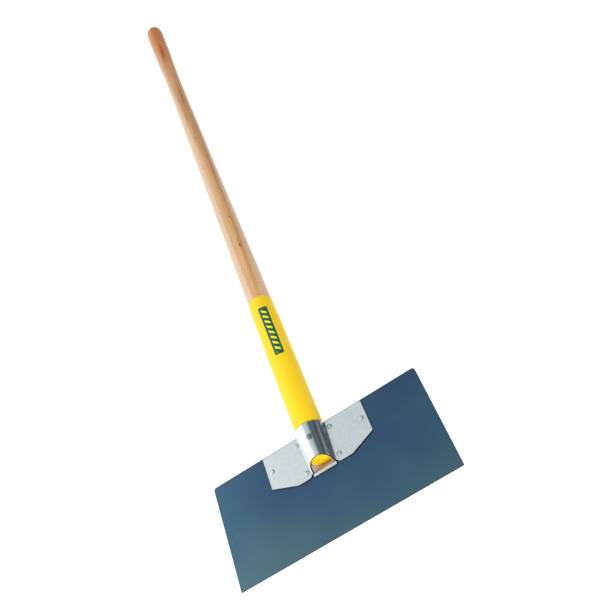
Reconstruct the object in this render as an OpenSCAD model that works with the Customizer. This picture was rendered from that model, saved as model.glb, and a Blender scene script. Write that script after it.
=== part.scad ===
// Long-handled blade scraper for mortar and concrete work.
//
// A rectangular spring-steel blade is held between two pressed sheet plates.
// Each plate has a half socket, and the two halves grip a tapered wooden
// handle.  The rear half closes below the handle's end in a sloping heel,
// which comes forward through a notch in the blade and ends in a flat lip.
// Six rivets hold the stack of three sheets, and one screw holds the handle.
//
// Frame: the origin is the middle of the blade's working edge, +X runs along
// that edge, +Y runs up the blade towards the handle, +Z is the front.

/* [Blade] */
// Width of the blade along its working edge
blade_w = 300; // [200:5:450]
// Height of the blade from working edge to top edge
blade_h = 143; // [100:1:200]
// Thickness of the blade
blade_t = 1.5; // [1:0.1:3]
// Radius of the blade's two top corners
blade_corner_r = 4; // [1:0.5:10]
// Side of the small bevel on the two working corners
blade_nick = 0.6; // [0.2:0.1:2]

/* [Socket plates] */
// Thickness of the pressed sheet
sheet_t = 1.5; // [1:0.1:2.5]
// Width across both wings of a plate
plate_w = 146; // [120:1:180]
// Height of a plate from its top edge to its foot
plate_h = 59; // [56:1:75]
// Height of the straight outer side of a wing
wing_side_h = 45; // [30:1:50]
// Width of the straight foot of one wing
wing_foot_w = 20; // [12:1:30]
// Distance of the plates' top edge below the blade's top edge
plate_setback = 1.5; // [0.5:0.5:5]
// Radius of the inner foot corner of a wing
wing_corner_r = 4.5; // [1:0.5:6]
// Width of the slot between the lip and the foot of a wing
foot_slot = 2.4; // [1.4:0.2:5]

/* [Socket] */
// Height of the handle's axis above the blade's middle plane, at the top edge
axis_lift = 3.5; // [2:0.5:6]
// Lean of the handle towards the front, in degrees
axis_lean = 1.4; // [0:0.2:4]
// Radial gap between the handle and the socket wall
socket_gap = 0.05; // [0.02:0.01:0.3]
// Distance from the handle's end to the crest of the socket's mouth
mouth_reveal = 3; // [1:0.5:6]
// Height of the foot of the socket's mouth above the plates' foot
mouth_foot_lift = 3.5; // [2:0.5:6]

/* [Heel and lip] */
// Distance from the handle's end to the heel, at the back of the socket
heel_gap = 0.8; // [0.4:0.1:2]
// Height of the bend between heel and lip above the plates' foot
heel_bend_lift = 3; // [1:0.5:5]
// Length of the lip below the bend
lip_len = 4; // [3.5:0.5:8]
// Distance that the lip reaches past the socket's wall, on each side
lip_overhang = 0.2; // [0.1:0.1:1]
// Gap between the lip's stem and the notch in the blade
notch_gap = 0.3; // [0.1:0.1:1]

/* [Handle] */
// Length of the handle beyond the blade's top edge
handle_reach = 1010; // [700:10:1400]
// Length of the tapered end inside the socket
insert_len = 44; // [38:0.5:45]
// Diameter of the handle where it leaves the socket
shank_d = 36.5; // [34:0.5:38]
// Diameter of the handle's tapered end
insert_d = 30.5; // [28:0.5:31]
// Length of the straight shank above the blade's top edge
shank_len = 125; // [100:5:200]
// Diameter at the neck below the knob
neck_d = 26.6; // [24:0.2:30]
// Distance of the neck from the handle's end
neck_from_end = 205; // [150:5:260]
// Diameter of the knob
knob_d = 31; // [28:0.5:36]
// Distance of the knob's widest place from the handle's end
knob_from_end = 55; // [40:1:80]
// Length of the rounded end of the knob
dome_len = 25; // [15:1:35]
// Side of the small bevel at the handle's tapered end
end_bevel = 0.8; // [0.3:0.1:2]

/* [Lacquer and label] */
// Distance from the blade's top edge up to the end of the lacquer
dip_reach = 219; // [150:1:300]
// Thickness of the lacquer
lacquer_t = 0.3; // [0.2:0.05:0.6]
// Distance from the blade's top edge to the label
label_from = 112; // [60:1:130]
// Length of the label
label_len = 86; // [40:1:90]
// Width of the label round the handle
label_w = 13; // [8:0.5:20]
// Thickness of the label
label_t = 0.12; // [0.1:0.02:0.3]
// Angle of the label's middle from the front towards +X, in degrees
label_turn = 18; // [0:1:45]

/* [Rivets] */
// Diameter of a rivet's shank
rivet_d = 4.5; // [3.5:0.1:5]
// Diameter of a rivet's head
rivet_head_d = 7; // [6:0.1:8]
// Height of the domed front head
rivet_head_h = 1.4; // [1:0.1:2]
// Height of the flatter rear head
rivet_tail_h = 1; // [0.8:0.1:1.5]
// Radial gap between a rivet's shank and its hole
rivet_gap = 0.05; // [0.02:0.01:0.2]
// Gap between an upper rivet's head and the socket's wall
upper_rivet_gap = 2; // [1.5:0.5:6]
// Distance of the upper rivets below the blade's top edge
upper_rivet_drop = 11; // [8:0.5:16]
// Distance of the outer rivets from the side of their wing
outer_rivet_inset = 7.5; // [5:0.5:20]
// Distance of the outer rivets below the blade's top edge
outer_rivet_drop = 24.5; // [15:0.5:35]
// Gap between a lower rivet's head and the socket's wall
lower_rivet_gap = 3.7; // [2:0.1:6]
// Distance of the lower rivets below the blade's top edge
lower_rivet_drop = 51; // [46:0.5:52]

/* [Handle screw] */
// Diameter of the screw's shank
screw_d = 3.6; // [3:0.1:4.5]
// Length of the screw under its head
screw_len = 22; // [16:1:26]
// Diameter of the screw's head
screw_head_d = 7.4; // [6:0.2:9]
// Height of the screw's head
screw_head_h = 2.2; // [1.6:0.1:3]
// Width of the slot in the head
screw_slot_w = 0.9; // [0.6:0.1:1.4]
// Depth of the slot in the head
screw_slot_h = 0.9; // [0.5:0.1:1.2]
// Distance of the screw below the blade's top edge, along the handle
screw_drop = 20.5; // [16:0.5:32]
// Angle of the screw from the front crest towards +X, in degrees
screw_turn = 6; // [0:1:15]
// Radial gap between the screw's shank and its hole
screw_gap = 0.05; // [0.02:0.01:0.2]

/* [Hidden] */
$fn = 96;

// A length that reaches past every face it has to cut
past = 1;
// How far the stem's faces keep inside the heel's
stem_inset = 0.05;
// Steps along each curved stretch of the handle's outline
curve_steps = 12;
// How quickly the handle slims above its shank: 1 is a straight cone
slim_power = 1.25;

half_blade = blade_t / 2;
plate_top = blade_h - plate_setback;
plate_foot = plate_top - plate_h;
front_face = half_blade + sheet_t;
insert_slope = (shank_d - insert_d) / 2 / insert_len;
bore_taper = atan(insert_slope);
socket_foot = blade_h - plate_foot;
mouth_crest = insert_len + mouth_reveal;
mouth_foot_y = plate_foot + mouth_foot_lift;

// The back edge of the handle's end, which the heel passes at heel_gap
end_back_y = blade_h - insert_len * cos(axis_lean) + insert_d / 2 * sin(axis_lean);
end_back_z = axis_lift - insert_len * sin(axis_lean) - insert_d / 2 * cos(axis_lean);
heel_bend_y = plate_foot + heel_bend_lift;
heel_slope = atan((front_face - end_back_z) / (end_back_y - heel_gap - heel_bend_y));
heel_run = sheet_t / sin(heel_slope);
// The heel's outer face passes the blade's front face here
heel_exit_y = heel_bend_y - heel_run + sheet_t / tan(heel_slope);
notch_foot = heel_exit_y - notch_gap;
lip_half = bore_r(heel_bend_y - blade_h) + sheet_t + lip_overhang;
foot_gap_w = 2 * (lip_half + foot_slot);

upper_rivet_x = rivet_x(upper_rivet_drop, upper_rivet_gap);
lower_rivet_x = rivet_x(lower_rivet_drop, lower_rivet_gap);
outer_rivet_x = plate_w / 2 - outer_rivet_inset;
neck_at = handle_reach - neck_from_end;
knob_at = handle_reach - knob_from_end;
dome_at = handle_reach - dome_len;

// Radius of the socket's wall on its inner side, u along the handle's axis
function bore_r(u) = shank_d / 2 + socket_gap + insert_slope * u;

// Distance from the middle of a rivet whose head stands gap off the socket
function rivet_x(drop, gap) = bore_r(-drop) + sheet_t + gap + rivet_head_d / 2;

// A smooth step from 0 to 1
function ease(v) = v * v * (3 - 2 * v);

// Radius of the finished handle at u, from the tapered end to the knob
function handle_r(u) =
  u < 0 ? shank_d / 2 + insert_slope * u :
  u < shank_len ? shank_d / 2 :
  u < neck_at ? slim_r((u - shank_len) / (neck_at - shank_len)) :
  u < knob_at ? neck_d / 2 + (knob_d - neck_d) / 2 * ease((u - neck_at) / (knob_at - neck_at)) :
  u < dome_at ? knob_d / 2 :
  knob_d / 2 * sqrt(max(0, 1 - pow((u - dome_at) / dome_len, 2)));

// Radius along the slimming stretch, v from 0 at the shank to 1 at the neck
function slim_r(v) = neck_d / 2 + (shank_d - neck_d) / 2 * pow(1 - v, slim_power);

// Places from a to b, both included
function places(a, b, steps) = [for (i = [0 : steps]) a + (b - a) * i / steps];

// Outline points [radius, place] for the given places, set back by inset
function outline(at, inset) = [for (u = at) [handle_r(u) - inset, u]];

// Places along the dip-coated stretch above the shank
dip_places = places(shank_len, dip_reach, 3);
// Places along the bare stretch
bare_places = concat(
  places(dip_reach, neck_at, curve_steps),
  places(neck_at, knob_at, curve_steps),
  [dome_at],
  [for (a = [15 : 15 : 75]) dome_at + dome_len * sin(a)]
);

// [side, x, drop below the top edge] of each rivet's place
module at_rivet(side, x, drop) {
  translate([side * x, blade_h - drop, 0]) children();
}

module at_each_rivet() {
  for (side = [-1, 1]) {
    at_rivet(side, upper_rivet_x, upper_rivet_drop) children();
    at_rivet(side, outer_rivet_x, outer_rivet_drop) children();
    at_rivet(side, lower_rivet_x, lower_rivet_drop) children();
  }
}

// The handle's own frame: +Y along its axis, from the blade's top edge
module along_handle() {
  translate([0, blade_h, axis_lift]) rotate([axis_lean, 0, 0]) children();
}

// Turns a solid of revolution about Z so that it lies along +Y
module laid_along_y() {
  rotate([-90, 0, 0]) children();
}

// A cone that follows the socket's wall, grown outwards by wall
module socket_cone(from_u, to_u, wall) {
  along_handle() laid_along_y() translate([0, 0, from_u])
    cylinder(h = to_u - from_u, r1 = bore_r(from_u) + wall, r2 = bore_r(to_u) + wall);
}

// The place and direction of the handle screw, on the socket's front crest
module at_screw() {
  along_handle() rotate([0, screw_turn, 0])
    translate([0, -screw_drop, bore_r(-screw_drop) + sheet_t])
      rotate([bore_taper, 0, 0]) children();
}

module screw_hole() {
  at_screw() translate([0, 0, -screw_len - past])
    cylinder(h = screw_len + 2 * past, d = screw_d + 2 * screw_gap);
}

module rivet_holes() {
  at_each_rivet() translate([0, 0, -front_face - past])
    cylinder(h = 2 * (front_face + past), d = rivet_d + 2 * rivet_gap);
}

// A region of the YZ plane, drawn as [y, z] points, made w wide along X
module across_x(w) {
  translate([-w / 2, 0, 0]) rotate([90, 0, 90]) linear_extrude(w) children();
}

// The space in front of the blade, or behind it, up to the plates' top edge
module side_space(front) {
  deep = axis_lift + shank_d;
  translate([-plate_w / 2, plate_foot - plate_h, front ? half_blade : -half_blade - deep])
    cube([plate_w, 2 * plate_h, deep]);
}

// A quarter corner to cut away, leaving a radius; sx, sy point at the corner
module corner_cut(x, y, r, sx, sy) {
  translate([x, y]) scale([sx, sy]) translate([-r, -r]) difference() {
    square(r + past);
    circle(r);
  }
}

// Flat outline of a plate, with the gap between its two feet
module plate_outline() {
  side_foot = plate_top - wing_side_h;
  foot_x = foot_gap_w / 2 + wing_foot_w;
  difference() {
    polygon([
      [-plate_w / 2, plate_top], [-plate_w / 2, side_foot], [-foot_x, plate_foot],
      [foot_x, plate_foot], [plate_w / 2, side_foot], [plate_w / 2, plate_top]
    ]);
    translate([-foot_gap_w / 2, plate_foot - past])
      square([foot_gap_w, mouth_foot_lift + past]);
    for (side = [-1, 1])
      corner_cut(side * foot_gap_w / 2, plate_foot, wing_corner_r, -side, -1);
  }
}

module blade() {
  color("#3A5870") difference() {
    translate([0, 0, -half_blade]) linear_extrude(blade_t) difference() {
      translate([-blade_w / 2, 0]) square([blade_w, blade_h]);
      for (side = [-1, 1]) {
        corner_cut(side * blade_w / 2, blade_h, blade_corner_r, side, 1);
        translate([side * blade_w / 2, 0]) rotate(45)
          square(blade_nick * sqrt(2), center = true);
      }
      notch_outline();
    }
    rivet_holes();
  }
}

// The notch that clears the handle and lets the heel through
module notch_outline() {
  top_half = bore_r(0);
  foot_half = lip_half + notch_gap;
  polygon([
    [-top_half, blade_h + past], [-foot_half, notch_foot],
    [foot_half, notch_foot], [top_half, blade_h + past]
  ]);
}

// Everything below the raked mouth of the half socket
module mouth_cut() {
  mouth_half = bore_r(-mouth_crest) + sheet_t + past;
  crest_z = axis_lift - mouth_crest * sin(axis_lean) + bore_r(-mouth_crest) + sheet_t;
  rake = (blade_h - mouth_crest - mouth_foot_y) / (crest_z - half_blade);
  top_z = crest_z + 2 * past;
  foot_y = plate_foot - 2 * past;
  across_x(2 * mouth_half) polygon([
    [foot_y, half_blade - past],
    [mouth_foot_y - rake * past, half_blade - past],
    [blade_h - mouth_crest + rake * 2 * past, top_z],
    [foot_y, top_z]
  ]);
}

module front_plate() {
  color("#C3CECC") difference() {
    union() {
      intersection() {
        socket_cone(-socket_foot, past, sheet_t);
        side_space(true);
        translate([-plate_w / 2, plate_foot, 0]) cube([plate_w, plate_h, blade_h]);
      }
      translate([0, 0, half_blade]) linear_extrude(sheet_t) plate_outline();
    }
    socket_cone(-socket_foot - past, 2 * past, 0);
    mouth_cut();
    rivet_holes();
    screw_hole();
  }
}

// The half space behind the heel's face, shifted outwards by run along Y
module behind_heel(run) {
  deep = axis_lift + shank_d;
  high = front_face;
  across_x(plate_w) polygon([
    [heel_bend_y - run, high],
    [heel_bend_y - run + (high + deep) / tan(heel_slope), -deep],
    [blade_h + plate_h, -deep],
    [blade_h + plate_h, high]
  ]);
}

// The heel's stem through the notch, and the lip that lies on the blade.
// Its two faces keep just inside the heel's, so that the solids overlap.
module heel_stem() {
  lip_foot = heel_bend_y - lip_len;
  stem_foot = -half_blade - sheet_t / 2;
  step = (front_face - stem_foot) / tan(heel_slope);
  across_x(2 * lip_half) polygon([
    [lip_foot, half_blade], [lip_foot, front_face],
    [heel_bend_y - stem_inset, front_face], [heel_bend_y - stem_inset + step, stem_foot],
    [heel_bend_y - heel_run + stem_inset + step, stem_foot],
    [heel_exit_y + stem_inset, half_blade]
  ]);
}

module rear_plate() {
  color("#B9C4C2") difference() {
    union() {
      intersection() {
        socket_cone(-socket_foot, past, sheet_t);
        side_space(false);
        behind_heel(heel_run);
        translate([-plate_w / 2, plate_foot, -blade_h]) cube([plate_w, plate_h, blade_h]);
      }
      translate([0, 0, -front_face]) linear_extrude(sheet_t) plate_outline();
      heel_stem();
    }
    intersection() {
      socket_cone(-socket_foot - past, 2 * past, 0);
      behind_heel(0);
    }
    rivet_holes();
  }
}

// A solid of revolution along the handle's axis from [radius, place] points
module turned(points) {
  along_handle() laid_along_y() rotate_extrude() polygon(points);
}

// Outline of the coated stretch, set back by inset from its outer face
function dipped_outline(inset) = concat(
  [[0, inset - insert_len], [insert_d / 2 - end_bevel - inset, inset - insert_len]],
  [[handle_r(end_bevel - insert_len) - inset, end_bevel - insert_len]],
  [[shank_d / 2 - inset, 0]],
  outline(dip_places, inset)
);

module handle() {
  color("#D9B48A") difference() {
    turned(concat(
      dipped_outline(lacquer_t),
      outline(bare_places, 0),
      [[0, handle_reach]]
    ));
    screw_hole();
  }
}

module lacquer() {
  color("#F8D72A") difference() {
    turned(concat(dipped_outline(0), [[0, dip_reach]]));
    turned(concat(dipped_outline(lacquer_t), [[0, dip_reach + past]], [[0, 0]]));
    screw_hole();
  }
}

// A thin patch on the lacquer, curved round the handle
module label() {
  at = places(label_from, label_from + label_len, 4);
  color("#1F5A3A") intersection() {
    turned(concat(
      outline(at, 0),
      [for (i = [len(at) - 1 : -1 : 0]) [handle_r(at[i]) + label_t, at[i]]]
    ));
    along_handle() rotate([0, label_turn, 0])
      translate([-label_w / 2, label_from - past, 0])
        cube([label_w, label_len + 2 * past, shank_d]);
  }
}

// A spherical cap of the given height on a round base of the given diameter
module cap(d, h) {
  ball_r = (d * d / 4 + h * h) / (2 * h);
  intersection() {
    translate([0, 0, h - ball_r]) sphere(ball_r);
    cylinder(h = h, d = d + past);
  }
}

module rivet(side, x, drop) {
  color("#BFC8C8") at_rivet(side, x, drop) union() {
    translate([0, 0, -front_face]) cylinder(h = 2 * front_face, d = rivet_d);
    translate([0, 0, front_face]) cap(rivet_head_d, rivet_head_h);
    translate([0, 0, -front_face]) mirror([0, 0, 1]) cap(rivet_head_d, rivet_tail_h);
  }
}

module handle_screw() {
  point_len = screw_d;
  color("#8E9494") at_screw() union() {
    difference() {
      cap(screw_head_d, screw_head_h);
      translate([-screw_head_d / 2, -screw_slot_w / 2, screw_head_h - screw_slot_h])
        cube([screw_head_d, screw_slot_w, screw_head_h]);
    }
    translate([0, 0, point_len - screw_len]) cylinder(h = screw_len - point_len, d = screw_d);
    translate([0, 0, -screw_len]) cylinder(h = point_len, r1 = screw_d / 8, r2 = screw_d / 2);
  }
}

blade();
front_plate();
rear_plate();
handle();
lacquer();
label();
handle_screw();
rivet(-1, upper_rivet_x, upper_rivet_drop);  // rivet_left_upper
rivet(-1, outer_rivet_x, outer_rivet_drop);  // rivet_left_outer
rivet(-1, lower_rivet_x, lower_rivet_drop);  // rivet_left_lower
rivet(1, upper_rivet_x, upper_rivet_drop);  // rivet_right_upper
rivet(1, outer_rivet_x, outer_rivet_drop);  // rivet_right_outer
rivet(1, lower_rivet_x, lower_rivet_drop);  // rivet_right_lower
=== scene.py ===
"""Looks of a long-handled blade scraper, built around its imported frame.

The frame: the origin is the middle of the blade's working edge, +X runs along
that edge, +Y runs up the blade towards the handle and +Z is the front.
Sizes in the classes are millimetres, and every mesh is made in metres.
"""

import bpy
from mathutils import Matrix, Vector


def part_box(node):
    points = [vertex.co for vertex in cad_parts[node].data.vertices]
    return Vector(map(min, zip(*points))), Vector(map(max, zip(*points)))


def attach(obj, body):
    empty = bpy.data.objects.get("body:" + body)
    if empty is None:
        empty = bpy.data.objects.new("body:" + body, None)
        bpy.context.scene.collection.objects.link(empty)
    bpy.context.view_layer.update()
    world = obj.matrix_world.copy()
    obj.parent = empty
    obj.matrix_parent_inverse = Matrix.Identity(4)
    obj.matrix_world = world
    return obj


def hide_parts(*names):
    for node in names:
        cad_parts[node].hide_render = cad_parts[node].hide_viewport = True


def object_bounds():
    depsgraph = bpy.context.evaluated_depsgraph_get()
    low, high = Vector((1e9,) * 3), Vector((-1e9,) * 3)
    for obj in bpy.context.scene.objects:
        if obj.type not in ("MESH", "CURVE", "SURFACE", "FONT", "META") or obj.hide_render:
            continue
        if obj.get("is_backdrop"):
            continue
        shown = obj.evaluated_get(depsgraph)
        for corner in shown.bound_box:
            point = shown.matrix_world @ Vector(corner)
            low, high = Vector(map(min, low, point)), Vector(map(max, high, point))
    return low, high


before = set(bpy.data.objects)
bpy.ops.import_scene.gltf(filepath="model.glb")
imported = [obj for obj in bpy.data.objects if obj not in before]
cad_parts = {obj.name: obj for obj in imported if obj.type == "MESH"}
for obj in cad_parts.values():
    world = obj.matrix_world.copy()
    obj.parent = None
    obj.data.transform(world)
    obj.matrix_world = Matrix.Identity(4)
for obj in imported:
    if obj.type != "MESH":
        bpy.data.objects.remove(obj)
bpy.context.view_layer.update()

import logging
import math
from collections.abc import Callable, Iterable, Sequence
from dataclasses import dataclass, field
from enum import Enum
from typing import Any

import bpy
import numpy as np
from mathutils import Matrix, Vector

log = logging.getLogger("scraper")

MM = 0.001
BODY = "root"
# Edges that turn by more than this are drawn sharp
SHARP_DEG = 18.0
# Broken edge under a rivet's or a screw's head, in millimetres
HEAD_BREAK = 0.12


class Slot(Enum):
    """The record's material slots."""

    SPRING_STEEL = "spring_steel"
    GALVANISED = "galvanised_sheet"
    WOOD = "bare_wood"
    LACQUER = "yellow_lacquer"
    LABEL = "green_label"
    SCREW = "zinc_screw"
    RIVET = "rivet_steel"


class Side(Enum):
    """Which side of the blade a pressed plate lies on."""

    FRONT = 1.0
    REAR = -1.0


# ---------------------------------------------------------------- small tools


def linear(hex_colour: str) -> tuple[float, float, float, float]:
    """Turns an sRGB hex colour into linear light.

    Args:
        hex_colour: Six hex digits after a hash mark.

    Returns:
        Red, green, blue and an alpha of one.
    """
    parts = [int(hex_colour[i:i + 2], 16) / 255 for i in (1, 3, 5)]
    low = [c / 12.92 if c <= 0.04045 else ((c + 0.055) / 1.055) ** 2.4 for c in parts]
    return (low[0], low[1], low[2], 1.0)


def add(tree: bpy.types.NodeTree, kind: str, inputs: dict[Any, Any] | None = None,
        stops: Sequence[tuple[float, Any]] = (), **settings: Any) -> bpy.types.Node:
    """Adds one node with its settings and links.

    Args:
        tree: The tree that gets the node.
        kind: Blender's name for the node's type.
        inputs: Socket name or number to a value, or to the socket that feeds it.
        stops: Places and colours, for a node that holds a colour ramp.
        settings: Properties of the node.

    Returns:
        The new node.
    """
    node = tree.nodes.new(kind)
    for name, value in settings.items():
        setattr(node, name, value)
    for name, value in (inputs or {}).items():
        if isinstance(value, bpy.types.NodeSocket):
            tree.links.new(value, node.inputs[name])
        else:
            node.inputs[name].default_value = value
    if stops:
        elements = node.color_ramp.elements
        while len(elements) < len(stops):
            elements.new(1.0)
        for element, (place, colour) in zip(elements, stops):
            element.position = place
            element.color = linear(colour) if isinstance(colour, str) else (*(colour,) * 3, 1.0)
    return node


def smooth_step(value: float, low: float, high: float) -> float:
    """A smooth rise from 0 at low to 1 at high."""
    v = min(1.0, max(0.0, (value - low) / (high - low)))
    return v * v * (3 - 2 * v)


def smooth_max(a: float, b: float, blend: float) -> float:
    """The larger of two numbers, rounded off where they are closer than blend."""
    if blend <= 0:
        return max(a, b)
    h = min(1.0, max(0.0, 0.5 + 0.5 * (a - b) / blend))
    return b + (a - b) * h + blend * h * (1 - h)


def new_object(name: str, points: Iterable[Sequence[float]], faces: Iterable[Sequence[int]],
               finishes: Sequence[bpy.types.Material] = ()) -> bpy.types.Object:
    """Makes a mesh object from points in millimetres.

    Args:
        name: The piece's name.
        points: Places in the frame, in millimetres.
        faces: Corners of each face, anticlockwise seen from outside.
        finishes: Materials, in the order of their slots.

    Returns:
        The object, linked to the scene.
    """
    mesh = bpy.data.meshes.new(name)
    mesh.from_pydata([[c * MM for c in p] for p in points], [], [list(f) for f in faces])
    for finish in finishes:
        mesh.materials.append(finish)
    mesh.validate()
    obj = bpy.data.objects.new(name, mesh)
    bpy.context.scene.collection.objects.link(obj)
    return obj


def apply_modifiers(obj: bpy.types.Object) -> bpy.types.Object:
    """Turns an object with modifiers into a plain mesh with sharp edges marked."""
    bpy.context.view_layer.update()
    graph = bpy.context.evaluated_depsgraph_get()
    plain = bpy.data.meshes.new_from_object(obj.evaluated_get(graph))
    obj.modifiers.clear()
    obj.data = plain
    plain.name = obj.name
    plain.shade_smooth()
    plain.set_sharp_from_angle(angle=math.radians(SHARP_DEG))
    return obj


def break_edges(obj: bpy.types.Object, width: float, segments: int = 2,
                finish: int = -1) -> None:
    """Takes the sharpness off every edge of about a right angle.

    Args:
        obj: The object that gets the bevel.
        width: Width of the bevel in millimetres.
        segments: Steps across the bevel.
        finish: Material index of the bevel, or -1 for the neighbouring face's.
    """
    bevel = obj.modifiers.new("edges", "BEVEL")
    bevel.width = width * MM
    bevel.segments = segments
    bevel.material = finish
    bevel.limit_method = "ANGLE"
    bevel.angle_limit = math.radians(50)
    bevel.use_clamp_overlap = True


def hand_over(piece: bpy.types.Object, slot: Slot, *nodes: str) -> None:
    """Puts a finished piece on the body, in its nodes' place.

    Args:
        piece: The finished piece.
        slot: The record's material slot of its main finish; not used.
        nodes: The CAD nodes that the piece stands for.
    """
    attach(piece, BODY)
    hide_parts(*nodes)
    piece.data.calc_loop_triangles()
    log.info("%s: %d triangles, for %s", piece.name, len(piece.data.loop_triangles),
             ", ".join(nodes))


def cap(radius: float, height: float, steps: int) -> list[tuple[float, float]]:
    """Rings of a spherical cap with a slightly rounded rim, from near its top outwards.

    Args:
        radius: Radius of its base.
        height: Its height.
        steps: Number of rings.

    Returns:
        The radius and height of each ring, the last at the base.
    """
    ball = (radius ** 2 + height ** 2) / (2 * height)
    reach = math.asin(radius / ball)
    rings = []
    for step in range(1, steps + 1):
        a = reach * step / steps
        rings.append((ball * math.sin(a), ball * math.cos(a) - ball + height))
    return rings


def turned_faces(rings: int, sides: int) -> list[tuple[int, ...]]:
    """Faces of a closed solid of revolution with a point at both ends.

    Args:
        rings: Number of rings between the two end points.
        sides: Points on each ring.

    Returns:
        Faces over the points: first end, the rings in order, last end.
    """
    faces: list[tuple[int, ...]] = []
    last = 1 + rings * sides
    for i in range(sides):
        j = (i + 1) % sides
        faces.append((0, 1 + j, 1 + i))
        for ring in range(rings - 1):
            a, b = 1 + ring * sides, 1 + (ring + 1) * sides
            faces.append((a + i, a + j, b + j, b + i))
        end = 1 + (rings - 1) * sides
        faces.append((last, end + i, end + j))
    return faces


def turned_solid(name: str, top: float, rings: Sequence[tuple[float, float]], bottom: float,
                 sides: int, finishes: Sequence[bpy.types.Material] = ()) -> bpy.types.Object:
    """Makes a closed solid of revolution about Z.

    Args:
        name: The piece's name.
        top: Height of its upper end point.
        rings: Radius and height of each ring, from the top down.
        bottom: Height of its lower end point.
        sides: Points on each ring.
        finishes: Its materials.

    Returns:
        The solid.
    """
    points = [(0.0, 0.0, top)]
    for radius, height in rings:
        for i in range(sides):
            a = -2 * math.pi * i / sides
            points.append((radius * math.cos(a), radius * math.sin(a), height))
    points.append((0.0, 0.0, bottom))
    return new_object(name, points, turned_faces(len(rings), sides), finishes)


def start_tree(name: str, inputs: dict[str, str]) -> tuple[bpy.types.NodeTree, bpy.types.Node]:
    """Starts a Geometry Nodes tree that takes a mesh and a finish.

    Args:
        name: The tree's name.
        inputs: Its other inputs: each one's name to its type of socket.

    Returns:
        The tree and its input node.
    """
    tree = bpy.data.node_groups.new(name, "GeometryNodeTree")
    sockets = {"Mesh": "NodeSocketGeometry", **inputs, "Finish": "NodeSocketMaterial"}
    for socket, kind in sockets.items():
        tree.interface.new_socket(socket, in_out="INPUT", socket_type=kind)
    tree.interface.new_socket("Mesh", in_out="OUTPUT", socket_type="NodeSocketGeometry")
    return tree, add(tree, "NodeGroupInput")


def end_tree(tree: bpy.types.NodeTree, given: bpy.types.Node,
             made: bpy.types.NodeSocket) -> bpy.types.NodeTree:
    """Ends a tree: its instances become real and take the finish.

    Args:
        tree: The tree.
        given: Its input node.
        made: The socket that holds what it has made.

    Returns:
        The same tree.
    """
    real = add(tree, "GeometryNodeRealizeInstances", {0: made})
    dressed = add(tree, "GeometryNodeSetMaterial", {
        "Geometry": real.outputs[0], "Material": given.outputs["Finish"]})
    add(tree, "NodeGroupOutput", {"Mesh": dressed.outputs[0]})
    return tree


def set_inputs(obj: bpy.types.Object, tree: bpy.types.NodeTree, values: dict[str, Any]) -> None:
    """Adds a Geometry Nodes modifier and sets its inputs by their identifiers.

    Args:
        obj: The object that gets the modifier.
        tree: The node tree.
        values: Input name to value.
    """
    modifier = obj.modifiers.new(tree.name, "NODES")
    modifier.node_group = tree
    for item in tree.interface.items_tree:
        if item.item_type == "SOCKET" and item.in_out == "INPUT" and item.name in values:
            modifier[item.identifier] = values[item.name]


# ------------------------------------------------------------------- finishes


def start_material(name: str) -> tuple[bpy.types.Material, bpy.types.NodeTree, bpy.types.Node]:
    """Makes a material, and gives it with its node tree and its shader."""
    material = bpy.data.materials.new(name)
    material.use_nodes = True
    return material, material.node_tree, material.node_tree.nodes["Principled BSDF"]


@dataclass(frozen=True)
class ShearedEdge:
    """Cut edge of sheet steel: dull, dark and torn to a fine grain by the shears; made near-black,
    as on the plates, it is also painted contact shadow.
    """

    name: str
    base: str
    tint: str
    metallic: float
    roughness: float
    grain_mm: float = 0.6

    def build(self) -> bpy.types.Material:
        """Makes the material."""
        material, tree, shader = start_material(self.name)
        place = add(tree, "ShaderNodeTexCoord").outputs["Object"]
        torn = add(tree, "ShaderNodeTexNoise", {
            "Vector": place, "Scale": 1 / (self.grain_mm * MM), "Detail": 2.0})
        grey = add(tree, "ShaderNodeMix", {
            0: torn.outputs["Fac"], 6: linear(self.base), 7: linear(self.tint)},
            data_type="RGBA", blend_type="MULTIPLY")
        tree.links.new(grey.outputs[2], shader.inputs["Base Color"])
        shader.inputs["Metallic"].default_value = self.metallic
        shader.inputs["Roughness"].default_value = self.roughness
        return material


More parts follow.
